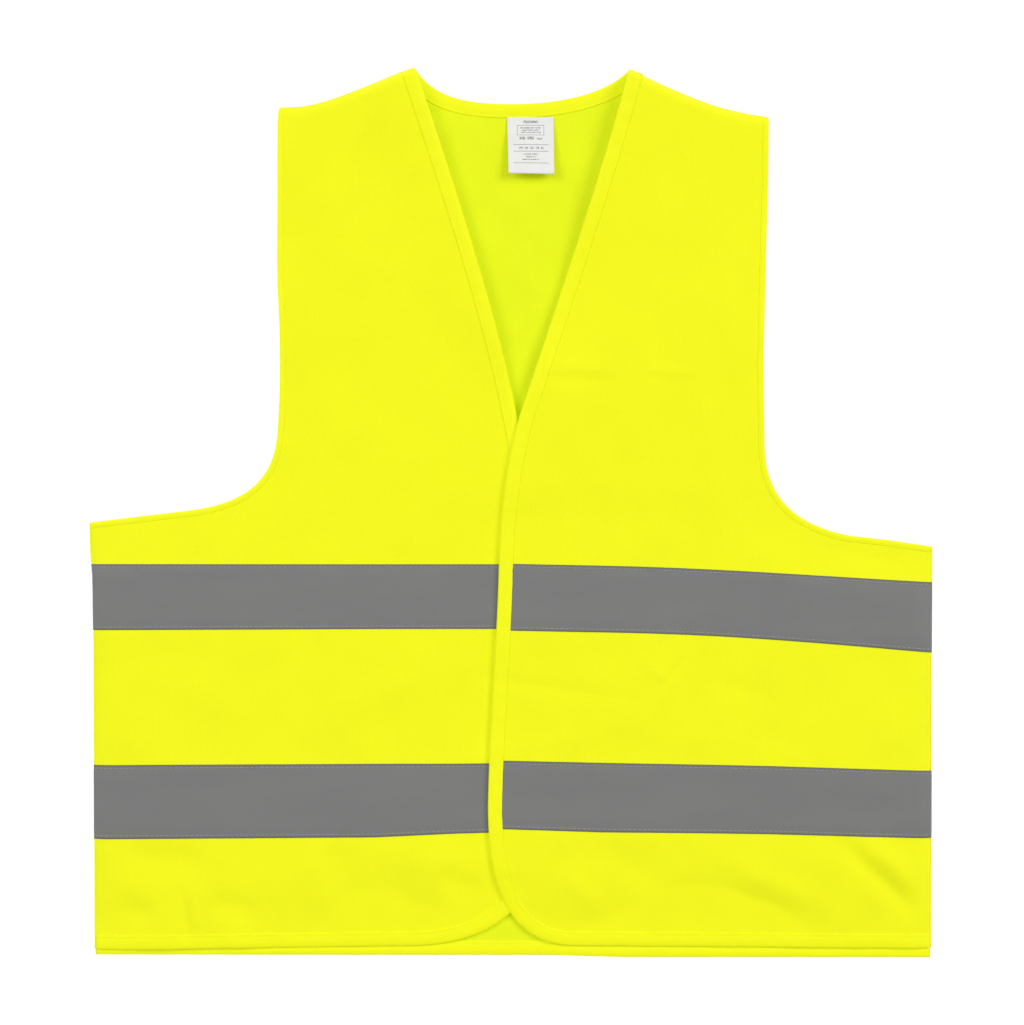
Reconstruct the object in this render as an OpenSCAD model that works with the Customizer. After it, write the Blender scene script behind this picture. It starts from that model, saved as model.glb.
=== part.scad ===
// High visibility vest, laid flat on its back with the left front lapped over the right.
// Millimetres. X across the vest, +Y towards the neck, +Z up through the fronts.

/* [Vest] */
// Width between the side seams
vest_width = 619; // [560:1:680]
// Length from the neck points to the back hem
vest_length = 652; // [600:1:710]

/* [Cloth] */
// Thickness of the knitted cloth
cloth = 0.5; // [0.3:0.05:0.7]
// Air between the back and the fronts
air = 7; // [5:0.5:9]
// Room between the two fronts where they overlap
lap = 2.6; // [2:0.1:4]

/* [Reflective bands] */
// Width of each band
band = 50; // [46:1:56]
// Thickness of the band
tape = 0.4; // [0.25:0.05:0.5]

/* [Binding] */
// Width of the binding round the neck, the front edges and the hem
binding = 9.5; // [8:0.5:11]
// Thickness of each side of the folded binding
fold = 0.35; // [0.2:0.05:0.4]
// Width of the finish round the armholes
arm_strip = 3.5; // [3:0.5:5]

/* [Seams] */
// Width of the overlocked allowance inside each seam
allowance = 8; // [6:0.5:10]

/* [Label] */
// Width of the care label
label_width = 32; // [26:1:36]
// Length of the care label
label_length = 41; // [30:1:45]

/* [Fastening] */
// Width of each hook or loop patch
patch_width = 14; // [10:1:14]
// Length of each hook or loop patch
patch_length = 30; // [20:1:34]

/* [Hidden] */
wide = vest_width / 619;
long = vest_length / 652;
steps = 10;             // segments in each curve
slit = 0.6;             // between a flap and the cloth that stays down
clear = 0.3;            // between parts that move past each other
thread = 0.5;           // width of a stitch row
thread_rise = 0.15;     // height of a stitch row
band_inset = 2.2;       // stitch row from the edge of a band
edge_inset = 1.6;       // stitch row from the inner edge of a binding
satin = 0.2;            // thickness of the label
seam_wall = 0.8;        // cloth turning from back to front at a seam
seam_pad = 1.2;         // thickness of an overlocked allowance
reach = 800;            // past everything

z_back = tape;
z_right = z_back + cloth + air + fold;
z_left = z_right + cloth + lap;
patch = (lap - clear) / 2;

yellow = [0.93, 0.96, 0.09];
bright = [0.94, 0.97, 0.12];
grey = [0.49, 0.49, 0.48];
white = [0.9, 0.9, 0.89];
pale = [0.75, 0.75, 0.72];
lime = [0.88, 0.92, 0.2];

// ---- points and curves ----

function at(x, y) = [x * wide, y * long];

function bez(a, b, c, d) = [
  for (i = [0:steps])
    let (t = i / steps, s = 1 - t)
    a * s * s * s + b * 3 * s * s * t + c * 3 * s * t * t + d * t * t * t
];

function reversed(path) = [for (i = [len(path) - 1:-1:0]) path[i]];

function unit(v) = v / norm(v);

// The path without points that repeat the one before.
function clean(path) = [
  for (i = [0:len(path) - 1])
    if (i == 0 || norm(path[i] - path[i - 1]) > 0.01) path[i]
];

// The direction of the path at a point, as the mean of the segments that meet there.
function heading(path, i) =
  let (last = len(path) - 1)
  let (before = unit(path[max(i, 1)] - path[max(i, 1) - 1]))
  let (after = unit(path[min(i + 1, last)] - path[min(i + 1, last) - 1]))
  unit(before + after);

// The path moved to its left.
function beside(path, d) = [
  for (i = [0:len(path) - 1])
    let (h = heading(path, i))
    path[i] + d * [-h[1], h[0]]
];

// The outline between two distances to the left of a path.
function strip(path, from, to) = concat(beside(path, from), reversed(beside(path, to)));

// ---- outline, each path with the cloth on its left ----

neck_right = at(-72, 326);
neck_left = at(86.5, 326);

back_neck = clean(concat(
  bez(neck_left, at(70, 306), at(40, 299.5), at(0, 299.5)),
  bez(at(0, 299.5), at(-35, 299.5), at(-58, 303), neck_right)
));

right_shoulder = bez(neck_right, at(-90, 319), at(-125, 302), at(-171, 296));
left_shoulder = bez(at(188, 289.5), at(160, 294), at(120, 309), neck_left);

right_armhole = clean(concat(
  [at(-171, 296), at(-173, 280), at(-173, 192), at(-172.5, 110)],
  bez(at(-172, 60), at(-174, 20), at(-200, 4), at(-245, 0)),
  [at(-309.5, -9)]
));
left_armhole = clean(concat(
  [at(309.5, -27)],
  bez(at(250, -17), at(208, -8), at(185, 8), at(185, 50)),
  [at(184, 110), at(186, 192), at(187.5, 240), at(188, 289.5)]
));

right_side = [at(-309.5, -9), at(-307.5, -65), at(-306.5, -321)];
left_side = [at(308, -320), at(308.5, -80), at(309.5, -27)];

back_hem = [at(-306.5, -325.5), at(308, -326)];

// Hem, curved corner, front edge and V edge.
right_edge = clean(concat(
  [at(-306.5, -321)],
  bez(at(-70, -318), at(-15, -316), at(26, -290), at(26, -215)),
  bez(at(25, -90), at(22, -20), at(12, 24), at(4, 66)),
  bez(at(4, 66), at(-12, 150), at(-50, 262), neck_right)
));
left_edge = clean(concat(
  bez(neck_left, at(70, 262), at(48, 195), at(6.5, 72)),
  bez(at(6.5, 72), at(-3, 38), at(-8, 0), at(-9, -40)),
  bez(at(-9, -40), at(-10.5, -98), at(-16, -160), at(-17, -215)),
  bez(at(-17, -215), at(-17, -280), at(0, -317), at(45, -318)),
  [at(308, -320)]
));

back_outline = clean(concat(
  back_neck, right_shoulder, right_armhole, [right_side[1]], back_hem,
  [left_side[1]], left_armhole, left_shoulder
));
right_outline = clean(concat(right_shoulder, right_armhole, right_side, right_edge));
left_outline = clean(concat(left_edge, left_side, left_armhole, left_shoulder));

// ---- centre lines of the bands ----

right_upper = [at(-315, -63), at(-100, -62), at(30, -61.5)];
right_lower = [at(-315, -213), at(-100, -211), at(30, -209.5)];
left_upper = [at(-30, -62), at(170, -66), at(315, -77.5)];
left_lower = [at(-30, -206.5), at(170, -210), at(315, -215)];
back_upper = [at(-315, -63), at(315, -77.5)];
back_lower = [at(-315, -213), at(315, -215)];

// ---- fold lines, down from the shoulder to the hem ----

right_fold = [at(-84, 322), at(-152, -320)];
left_fold = [at(98, 319), at(157, -320)];

// ---- building blocks ----

module sheet(outline, z, thick) {
  translate([0, 0, z]) linear_extrude(thick) polygon(outline);
}

// Keeps what is on one side of a fold line: 1 towards -X, -1 towards +X.
module beyond(line, side) {
  u = unit(line[1] - line[0]);
  n = [u[1], -u[0]] * side;
  top = line[0] - u * band + n * slit / 2;
  low = line[1] + u * band + n * slit / 2;
  intersection() {
    children();
    sheet([top, low, low + n * reach, top + n * reach], -band, 3 * band);
  }
}

// Binding folded over the cloth's edge.
module bound(path, width, z) {
  difference() {
    sheet(strip(path, -fold, width), z - fold, cloth + 2 * fold);
    sheet(strip(path, 0, width + 1), z, cloth);
  }
}

module stitch_row(path, inset, z) {
  sheet(strip(path, inset - thread / 2, inset + thread / 2), z, thread_rise);
}

// A band laid across a panel, stopped by the binding of its front edge.
module band_on(outline, edge, line, z) {
  difference() {
    intersection() {
      sheet(strip(line, -band / 2, band / 2), z, tape);
      sheet(outline, z - 1, 3);
    }
    sheet(strip(edge, -2, binding), z - 1, 3);
  }
}

// The two stitch rows of a band.
module rows_on(outline, edge, line, z) {
  difference() {
    intersection() {
      union() {
        stitch_row(line, band / 2 - band_inset, z);
        stitch_row(line, band_inset - band / 2, z);
      }
      sheet(outline, z - 1, 3);
    }
    sheet(strip(edge, -2, binding), z - 1, 3);
  }
}

// Cloth turning up from the back to a front, with the allowance lying on the back.
module seam(path, top) {
  floor_z = z_back + cloth;
  sheet(strip(path, 0, allowance), floor_z, seam_pad);
  sheet(strip(path, 0, seam_wall), floor_z + seam_pad, top - floor_z - seam_pad);
}

// The middle part of a path, without a length at either end.
function shortened(path, first, last) = concat(
  [path[0] + unit(path[1] - path[0]) * first],
  [for (i = [1:1:len(path) - 2]) path[i]],
  [path[len(path) - 1] - unit(path[len(path) - 1] - path[len(path) - 2]) * last]
);

// ---- cloth ----

module back_panel() {
  color(yellow) sheet(back_outline, z_back, cloth);
}

module right_front_side() {
  color(yellow) beyond(right_fold, 1) sheet(right_outline, z_right, cloth);
}

module right_front_flap() {
  color(yellow) beyond(right_fold, -1) sheet(right_outline, z_right, cloth);
}

module left_front_side() {
  color(yellow) beyond(left_fold, -1) sheet(left_outline, z_left, cloth);
}

module left_front_flap() {
  color(yellow) beyond(left_fold, 1) sheet(left_outline, z_left, cloth);
}

// ---- seams ----

module right_side_seam() {
  color(yellow) seam(shortened(right_side, arm_strip + 1, binding + 1), z_right);
}

module left_side_seam() {
  color(yellow) seam(shortened(left_side, binding + 1, arm_strip + 1), z_left);
}

module right_shoulder_seam() {
  color(yellow) beyond(right_fold, 1)
    seam(shortened(right_shoulder, 0, arm_strip + 1), z_right);
}

module left_shoulder_seam() {
  color(yellow) beyond(left_fold, -1)
    seam(shortened(left_shoulder, arm_strip + 1, 0), z_left);
}

// ---- binding and armhole finish ----

module back_neck_binding() {
  color(bright) bound(back_neck, binding, z_back);
}

module back_hem_binding() {
  color(bright) bound(back_hem, binding, z_back);
}

module right_hem_binding() {
  color(bright) beyond(right_fold, 1) bound(right_edge, binding, z_right);
}

module right_front_binding() {
  color(bright) beyond(right_fold, -1) bound(right_edge, binding, z_right);
}

module left_hem_binding() {
  color(bright) beyond(left_fold, -1) bound(left_edge, binding, z_left);
}

// Its end at the neck point is cut off along the shoulder.
module left_front_binding() {
  color(bright) beyond(left_fold, 1) difference() {
    bound(left_edge, binding, z_left);
    sheet(concat(left_shoulder, [neck_left + [0, band], left_shoulder[0] + [0, band]]), z_left - 2, 5);
  }
}

module right_armhole_front_binding() {
  color(bright) bound(right_armhole, arm_strip, z_right);
}

module right_armhole_back_binding() {
  color(bright) bound(right_armhole, arm_strip, z_back);
}

module left_armhole_front_binding() {
  color(bright) bound(left_armhole, arm_strip, z_left);
}

module left_armhole_back_binding() {
  color(bright) bound(left_armhole, arm_strip, z_back);
}

// ---- reflective bands ----

module back_upper_band() {
  color(grey) band_on(back_outline, back_hem, back_upper, 0);
}

module back_lower_band() {
  color(grey) band_on(back_outline, back_hem, back_lower, 0);
}

module right_upper_band() {
  color(grey) beyond(right_fold, 1)
    band_on(right_outline, right_edge, right_upper, z_right + cloth);
}

module right_lower_band() {
  color(grey) beyond(right_fold, 1)
    band_on(right_outline, right_edge, right_lower, z_right + cloth);
}

module right_upper_band_end() {
  color(grey) beyond(right_fold, -1)
    band_on(right_outline, right_edge, right_upper, z_right + cloth);
}

module right_lower_band_end() {
  color(grey) beyond(right_fold, -1)
    band_on(right_outline, right_edge, right_lower, z_right + cloth);
}

module left_upper_band() {
  color(grey) beyond(left_fold, -1)
    band_on(left_outline, left_edge, left_upper, z_left + cloth);
}

module left_lower_band() {
  color(grey) beyond(left_fold, -1)
    band_on(left_outline, left_edge, left_lower, z_left + cloth);
}

module left_upper_band_end() {
  color(grey) beyond(left_fold, 1)
    band_on(left_outline, left_edge, left_upper, z_left + cloth);
}

module left_lower_band_end() {
  color(grey) beyond(left_fold, 1)
    band_on(left_outline, left_edge, left_lower, z_left + cloth);
}

// ---- stitch rows ----

// The back's rows show on the inside of the cloth, as far as the seam allowances.
module back_band_threads() {
  color(pale) difference() {
    union() {
      rows_on(back_outline, back_hem, back_upper, z_back + cloth);
      rows_on(back_outline, back_hem, back_lower, z_back + cloth);
    }
    sheet(strip(right_side, -1, allowance + clear), z_back, 3);
    sheet(strip(left_side, -1, allowance + clear), z_back, 3);
  }
}

module right_rows() {
  rows_on(right_outline, right_edge, right_upper, z_right + cloth + tape);
  rows_on(right_outline, right_edge, right_lower, z_right + cloth + tape);
}

module left_rows() {
  rows_on(left_outline, left_edge, left_upper, z_left + cloth + tape);
  rows_on(left_outline, left_edge, left_lower, z_left + cloth + tape);
}

module right_band_threads() {
  color(pale) beyond(right_fold, 1) right_rows();
}

module right_band_end_threads() {
  color(pale) beyond(right_fold, -1) right_rows();
}

module left_band_threads() {
  color(pale) beyond(left_fold, -1) left_rows();
}

module left_band_end_threads() {
  color(pale) beyond(left_fold, 1) left_rows();
}

module back_neck_thread() {
  color(lime) stitch_row(back_neck, binding - edge_inset, z_back + cloth + fold);
}

module back_hem_thread() {
  color(lime) stitch_row(back_hem, binding - edge_inset, z_back + cloth + fold);
}

module right_hem_thread() {
  color(lime) beyond(right_fold, 1)
    stitch_row(right_edge, binding - edge_inset, z_right + cloth + fold);
}

module right_front_thread() {
  color(lime) beyond(right_fold, -1)
    stitch_row(right_edge, binding - edge_inset, z_right + cloth + fold);
}

module left_hem_thread() {
  color(lime) beyond(left_fold, -1)
    stitch_row(left_edge, binding - edge_inset, z_left + cloth + fold);
}

module left_front_thread() {
  color(lime) beyond(left_fold, 1)
    stitch_row(left_edge, binding - edge_inset, z_left + cloth + fold);
}

module right_armhole_front_thread() {
  color(lime) stitch_row(right_armhole, arm_strip - edge_inset / 2, z_right + cloth + fold);
}

module right_armhole_back_thread() {
  color(lime) stitch_row(right_armhole, arm_strip - edge_inset / 2, z_back + cloth + fold);
}

module left_armhole_front_thread() {
  color(lime) stitch_row(left_armhole, arm_strip - edge_inset / 2, z_left + cloth + fold);
}

module left_armhole_back_thread() {
  color(lime) stitch_row(left_armhole, arm_strip - edge_inset / 2, z_back + cloth + fold);
}

// ---- hook and loop patches between the bands, hidden in the overlap ----

patch_tops = [at(7, -96) - [patch_width / 2, 0], at(5.5, -148) - [patch_width / 2, 0]];

function patch_outline(corner, inset) = [
  corner + [inset, -inset],
  corner + [patch_width - inset, -inset],
  corner + [patch_width - inset, inset - patch_length],
  corner + [inset, inset - patch_length]
];

module patch_at(corner, z) {
  sheet(patch_outline(corner, 0), z, patch);
}

// A stitched frame let into the face of each patch.
module patch_frame(corner, z) {
  difference() {
    sheet(patch_outline(corner, 1.5), z, thread_rise);
    sheet(patch_outline(corner, 1.5 + thread), z - 1, 3);
  }
}

module hook_patch_upper() {
  color(yellow) difference() {
    patch_at(patch_tops[0], z_right + cloth);
    patch_frame(patch_tops[0], z_right + cloth + patch - thread_rise);
  }
}

module hook_patch_lower() {
  color(yellow) difference() {
    patch_at(patch_tops[1], z_right + cloth);
    patch_frame(patch_tops[1], z_right + cloth + patch - thread_rise);
  }
}

module hook_patch_stitches() {
  color(lime) for (corner = patch_tops)
    patch_frame(corner, z_right + cloth + patch - thread_rise);
}

module loop_patch_upper() {
  color(yellow) difference() {
    patch_at(patch_tops[0], z_left - patch);
    patch_frame(patch_tops[0], z_left - patch);
  }
}

module loop_patch_lower() {
  color(yellow) difference() {
    patch_at(patch_tops[1], z_left - patch);
    patch_frame(patch_tops[1], z_left - patch);
  }
}

module loop_patch_stitches() {
  color(lime) for (corner = patch_tops)
    patch_frame(corner, z_left - patch);
}

// ---- care label, sewn in under the neck binding ----

label_middle = at(13, 299.5);
label_top = label_middle[1] - binding - 1;

module care_label() {
  color(white) translate([label_middle[0] - label_width / 2, label_top - label_length, z_back + cloth + clear])
    cube([label_width, label_length, satin]);
}

module label_stitches() {
  color(pale) translate([label_middle[0] - label_width / 2, label_top + edge_inset, z_back + cloth + fold])
    cube([label_width, thread, thread_rise]);
}

back_panel();
right_front_side();
left_front_side();
right_front_flap();
left_front_flap();
right_side_seam();
left_side_seam();
right_shoulder_seam();
left_shoulder_seam();
back_neck_binding();
back_hem_binding();
right_hem_binding();
left_hem_binding();
right_front_binding();
left_front_binding();
right_armhole_front_binding();
right_armhole_back_binding();
left_armhole_front_binding();
left_armhole_back_binding();
back_upper_band();
back_lower_band();
right_upper_band();
right_lower_band();
left_upper_band();
left_lower_band();
right_upper_band_end();
right_lower_band_end();
left_upper_band_end();
left_lower_band_end();
back_band_threads();
right_band_threads();
left_band_threads();
right_band_end_threads();
left_band_end_threads();
back_neck_thread();
back_hem_thread();
right_hem_thread();
left_hem_thread();
right_front_thread();
left_front_thread();
right_armhole_front_thread();
right_armhole_back_thread();
left_armhole_front_thread();
left_armhole_back_thread();
hook_patch_upper();
hook_patch_lower();
hook_patch_stitches();
loop_patch_upper();
loop_patch_lower();
loop_patch_stitches();
care_label();
label_stitches();
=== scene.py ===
import math

import bpy
import numpy as np
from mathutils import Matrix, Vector, geometry, noise


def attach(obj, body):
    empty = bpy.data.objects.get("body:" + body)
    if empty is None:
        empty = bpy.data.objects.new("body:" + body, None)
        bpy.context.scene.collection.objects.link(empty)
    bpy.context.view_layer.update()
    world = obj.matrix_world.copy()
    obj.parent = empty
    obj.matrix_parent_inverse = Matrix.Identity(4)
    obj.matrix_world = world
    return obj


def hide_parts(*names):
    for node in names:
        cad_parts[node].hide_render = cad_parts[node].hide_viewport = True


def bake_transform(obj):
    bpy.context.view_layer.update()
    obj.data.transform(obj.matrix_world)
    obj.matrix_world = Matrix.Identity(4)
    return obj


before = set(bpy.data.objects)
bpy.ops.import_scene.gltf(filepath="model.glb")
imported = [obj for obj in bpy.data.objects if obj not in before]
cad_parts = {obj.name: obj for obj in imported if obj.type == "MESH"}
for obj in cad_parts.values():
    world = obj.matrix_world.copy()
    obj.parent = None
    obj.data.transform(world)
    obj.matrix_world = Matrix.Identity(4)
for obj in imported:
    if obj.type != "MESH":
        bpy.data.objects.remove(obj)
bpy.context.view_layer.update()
bpy.ops.object.select_all(action="DESELECT")


# ---- Studio ----
# A pale matte table with the vest lying on it, a wide soft light at each side, a small
# one overhead and an even glow all round. The camera looks straight down.

LENS = 85.0
SENSOR = 36.0
VIEW_WIDTH = 0.7526
CLOTH_LEVEL = 0.008
TABLE_LEVEL = -0.0002
FLOOR = 40
ROOM_GLOW = 0.40
SOFTNESS = math.radians(30)

view = bpy.data.cameras.new("overhead_camera")
view.lens = LENS
view.sensor_width = SENSOR
camera = bpy.data.objects.new("overhead_camera", view)
camera.location = (0, 0, VIEW_WIDTH * LENS / SENSOR + CLOTH_LEVEL)
bpy.context.scene.collection.objects.link(camera)
bpy.context.scene.camera = camera
bpy.context.scene.view_settings.view_transform = "Standard"

glow = bpy.data.worlds.new("even_glow")
glow.use_nodes = True
glow.node_tree.nodes["Background"].inputs["Color"].default_value = (1, 1, 1, 1)
glow.node_tree.nodes["Background"].inputs["Strength"].default_value = ROOM_GLOW
bpy.context.scene.world = glow


def lamp(name, kind, place, **settings):
    """A light that points at the middle of the vest."""
    light = bpy.data.lights.new(name, kind)
    for setting, value in settings.items():
        setattr(light, setting, value)
    light_object = bpy.data.objects.new(name, light)
    light_object.location = place
    light_object.rotation_euler = (-Vector(place)).to_track_quat("-Z", "Y").to_euler()
    bpy.context.scene.collection.objects.link(light_object)


lamp("right_softbox", "SUN", (1.35, 0.75, 1.3), energy=1.30, angle=SOFTNESS)
lamp("left_softbox", "SUN", (-1.35, 0.65, 1.3), energy=0.98, angle=SOFTNESS)
lamp("top_softbox", "AREA", (-0.1, 0.5, 1.9), energy=5, size=1.2)

bpy.ops.mesh.primitive_plane_add(size=FLOOR, location=(0, 0, TABLE_LEVEL))
table = bpy.context.object
table.name = "table"
bpy.ops.object.select_all(action="DESELECT")


class Number:
    """A value that varies over a surface. Sums and products of it add the Math nodes."""

    def __init__(self, finish, socket):
        self.finish = finish
        self.socket = socket

    def _maths(self, operation, *others):
        return self.finish.node("ShaderNodeMath", {"operation": operation}, dict(enumerate([self, *others])))

    def __add__(self, other):
        return self._maths("ADD", other)

    def __sub__(self, other):
        return self._maths("SUBTRACT", other)

    def __rsub__(self, other):
        return self.finish.node("ShaderNodeMath", {"operation": "SUBTRACT"}, {0: other, 1: self})

    def __mul__(self, other):
        return self._maths("MULTIPLY", other)

    def __truediv__(self, other):
        return self._maths("DIVIDE", other)

    def __gt__(self, other):
        return self._maths("GREATER_THAN", other)

    def __lt__(self, other):
        return self._maths("LESS_THAN", other)

    __radd__ = __add__
    __rmul__ = __mul__

    def sine(self):
        return self._maths("SINE")

    def absolute(self):
        return self._maths("ABSOLUTE")

    def least(self, other):
        return self._maths("MINIMUM", other)


class Finish:
    """One material, built from its nodes."""

    def __init__(self, name, **shader):
        self.material = bpy.data.materials.new(name)
        self.material.use_nodes = True
        self.tree = self.material.node_tree
        self.shader = self.tree.nodes["Principled BSDF"]
        for socket, value in shader.items():
            self.feed(socket.replace("_", " "), value)

    def feed(self, socket, value):
        self._put(self.shader.inputs[socket], value)

    def _put(self, socket, value):
        if isinstance(value, Number):
            self.tree.links.new(value.socket, socket)
        else:
            socket.default_value = value

    def node(self, kind, settings, values, output=0):
        """Any node, from its type, its settings and the values or links of its sockets."""
        made = self.tree.nodes.new(kind)
        for name, value in settings.items():
            setattr(made, name, value)
        for name, value in values.items():
            self._put(made.inputs[name], value)
        return Number(self, made.outputs[output])

    def glows(self, colour, strength=1.0):
        """Light that the surface gives off by itself at a fixed strength, whatever light falls on it. On the
        yellow parts this is painted glow, standing in for the dye's fluorescence and lightening their shade.
        """
        self.feed("Emission Color", colour)
        self.feed("Emission Strength", strength)

    def cut_map(self):
        """The piece's own flat cut, in metres, as a vector."""
        return self.node("ShaderNodeUVMap", {"uv_map": "cut"}, {})

    def along_and_across(self):
        """The two distances over the flat cut, in metres."""
        along = self.node("ShaderNodeSeparateXYZ", {}, {0: self.cut_map()})
        return along, Number(self, along.socket.node.outputs[1])

    def cloud(self, size, detail=2.0, stretch=(1, 1, 1)):
        """Noise between 0 and 1, with lumps of a size in metres."""
        moved = self.node("ShaderNodeVectorMath", {"operation": "MULTIPLY"}, {0: self.cut_map(), 1: stretch})
        return self.node("ShaderNodeTexNoise", {}, {"Vector": moved, "Scale": 1 / size, "Detail": detail})

    def shades(self, mask, low, high):
        """A colour between two, by a mask from 0 to 1."""
        return self.node("ShaderNodeMix", {"data_type": "RGBA"}, {0: mask, 6: low, 7: high}, output=2)

    def relief(self, height, distance, strength=1.0):
        bump = self.node("ShaderNodeBump", {}, {"Height": height, "Distance": distance, "Strength": strength})
        self.feed("Normal", bump)


table_top = Finish("table_top", Base_Color=(0.93, 0.93, 0.93, 1), Roughness=0.9)
table_top.glows((1, 1, 1, 1), 0.45)
table.data.materials.append(table_top.material)


# ---- Back panel ----
# One piece of fluorescent yellow polyester knit, cut with a scooped neck, sloping
# shoulders and deep armholes, and lying flat on the table with a few low swells.

CLOTH = 0.0005
GRID = 0.0032
OUTLINE_STEP = 0.003
EDGE_LOOPS = (0.0007, 0.0016, 0.0032)
EDGE_GAP = 0.0045


def curve(a, b, c, d, count=24):
    """Points of a curve from a to d, drawn towards b and c; millimetres in, metres out."""
    t = np.linspace(0, 1, count + 1)[:, None]
    s = 1 - t
    a, b, c, d = (np.array(p, float) for p in (a, b, c, d))
    return (s**3 * a + 3 * s * s * t * b + 3 * s * t * t * c + t**3 * d) / 1000


def line(*points):
    """Straight runs through points in millimetres, given back in metres."""
    return np.array(points, float) / 1000


def joined(*parts):
    """Paths end to end, with the points that repeat left out."""
    whole = np.concatenate(parts)
    keep = np.ones(len(whole), bool)
    keep[1:] = np.linalg.norm(np.diff(whole[:, :2], axis=0), axis=1) > 1e-5
    return whole[keep]


def evenly(path, step):
    """The path again, with points at even steps along it."""
    run = np.concatenate([[0], np.cumsum(np.linalg.norm(np.diff(path, axis=0), axis=1))])
    at = np.linspace(0, run[-1], max(2, int(round(run[-1] / step)) + 1))
    return np.stack([np.interp(at, run, path[:, i]) for i in range(path.shape[1])], 1)


def leftward(path):
    """Unit vectors pointing to the left of the path, which is where the cloth is."""
    ahead = np.gradient(path, axis=0)
    ahead /= np.linalg.norm(ahead, axis=1)[:, None]
    return np.stack([-ahead[:, 1], ahead[:, 0]], 1)


def away(points, path):
    """Distance of each point from a path."""
    nearest = np.full(len(points), 9.0)
    for a, b in zip(path[:-1], path[1:]):
        span = b - a
        t = np.clip(((points - a) @ span) / (span @ span), 0, 1)
        nearest = np.minimum(nearest, np.linalg.norm(points - a - t[:, None] * span, axis=1))
    return nearest


def within(points, loop):
    """Whether each point is inside a closed loop."""
    inside = np.zeros(len(points), bool)
    x, y = points[:, 0], points[:, 1]
    for (x1, y1), (x2, y2) in zip(loop, np.roll(loop, -1, axis=0)):
        if y1 != y2:
            crosses = (y1 > y) != (y2 > y)
            inside ^= crosses & (x < (x2 - x1) * (y - y1) / (y2 - y1) + x1)
    return inside


def ease(t):
    """0 to 1 with a soft start and stop."""
    t = np.clip(t, 0, 1)
    return t * t * (3 - 2 * t)


def swell(points, size, layer, turn=0.0, stretch=1.0):
    """Soft lumps from -1 to 1 of a size in metres, stretched along a direction in degrees."""
    c, s = math.cos(math.radians(turn)), math.sin(math.radians(turn))
    u = (points[:, 0] * c + points[:, 1] * s) / (size * stretch)
    v = (points[:, 1] * c - points[:, 0] * s) / size
    return 1.6 * np.array([noise.noise(Vector((p, q, layer))) for p, q in zip(u, v)])


neck_right = (-72, 327)
neck_left = (87, 326)
back_neck = joined(
    curve(neck_left, (73, 310), (40, 300.3), (0, 300.3)),
    curve((0, 300.3), (-35, 300.3), (-58, 305), neck_right),
)
right_shoulder = joined(
    curve(neck_right, (-84, 324), (-95, 318), (-112, 311.5)),
    curve((-112, 311.5), (-128, 305), (-145, 299), (-158, 298.2)),
    line((-171, 297.6)),
)
left_shoulder = joined(
    curve((188, 290.8), (172, 292.5), (150, 298), (138, 303)),
    curve((138, 303), (125, 308), (105, 316.5), neck_left),
)
right_armhole = joined(
    line((-171, 297.6), (-171.8, 285), (-171.9, 225), (-172.2, 192)),
    curve((-172, 170), (-169.5, 130), (-169.6, 95), (-171.8, 60)),
    curve((-171.8, 60), (-174, 20), (-200, 4), (-245, 0)),
    line((-295, -6), (-310.5, -8)),
)
left_armhole = joined(
    line((309, -25.6), (278, -21)),
    curve((248, -17.6), (221, -12), (185.5, 1), (185, 50)),
    line((184, 110), (186, 192), (187.5, 240), (188, 290.8)),
)
right_side = line((-310.5, -8), (-310, -30), (-308.3, -46), (-307.8, -80), (-307.2, -200), (-306.8, -321))
left_side = line((308, -320), (308.5, -80), (309, -25.6))
back_hem = line((-306.8, -325), (30, -325.4), (85, -326.9), (308, -327))

# Centre lines of the reflective bands, with the width there: the cloth is held flat under them.
BAND = 0.050
back_upper_line = line((-315, -63, 50), (315, -77.5, 50))
back_lower_line = line((-315, -213, 50), (315, -215, 50))


def loose(points, *bands):
    """0 on and near the bands, 1 well away from them."""
    free = np.ones(len(points))
    for band in bands:
        free *= 0.2 + 0.8 * ease((away(points, band[:, :2]) - BAND / 2) / 0.022)
    return free


BACK_LEVEL = 0.0018
LEAST_BACK = 0.0016


def back_top(points):
    """Height of the back's upper face."""
    rise = BACK_LEVEL + 0.0004 * swell(points, 0.06, 2.3) + 0.0002 * swell(points, 0.024, 8.1)
    return np.maximum(rise, LEAST_BACK)


def stepped(path, step, front=None):
    """Points along a path at about even steps, and six times closer where the cloth rolls."""
    fine = evenly(path, step / 6)
    keep = np.arange(len(fine)) % 6 == 0
    keep[-1] = True
    return fine[keep | rolls(fine, front)] if front else fine[keep]


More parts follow.
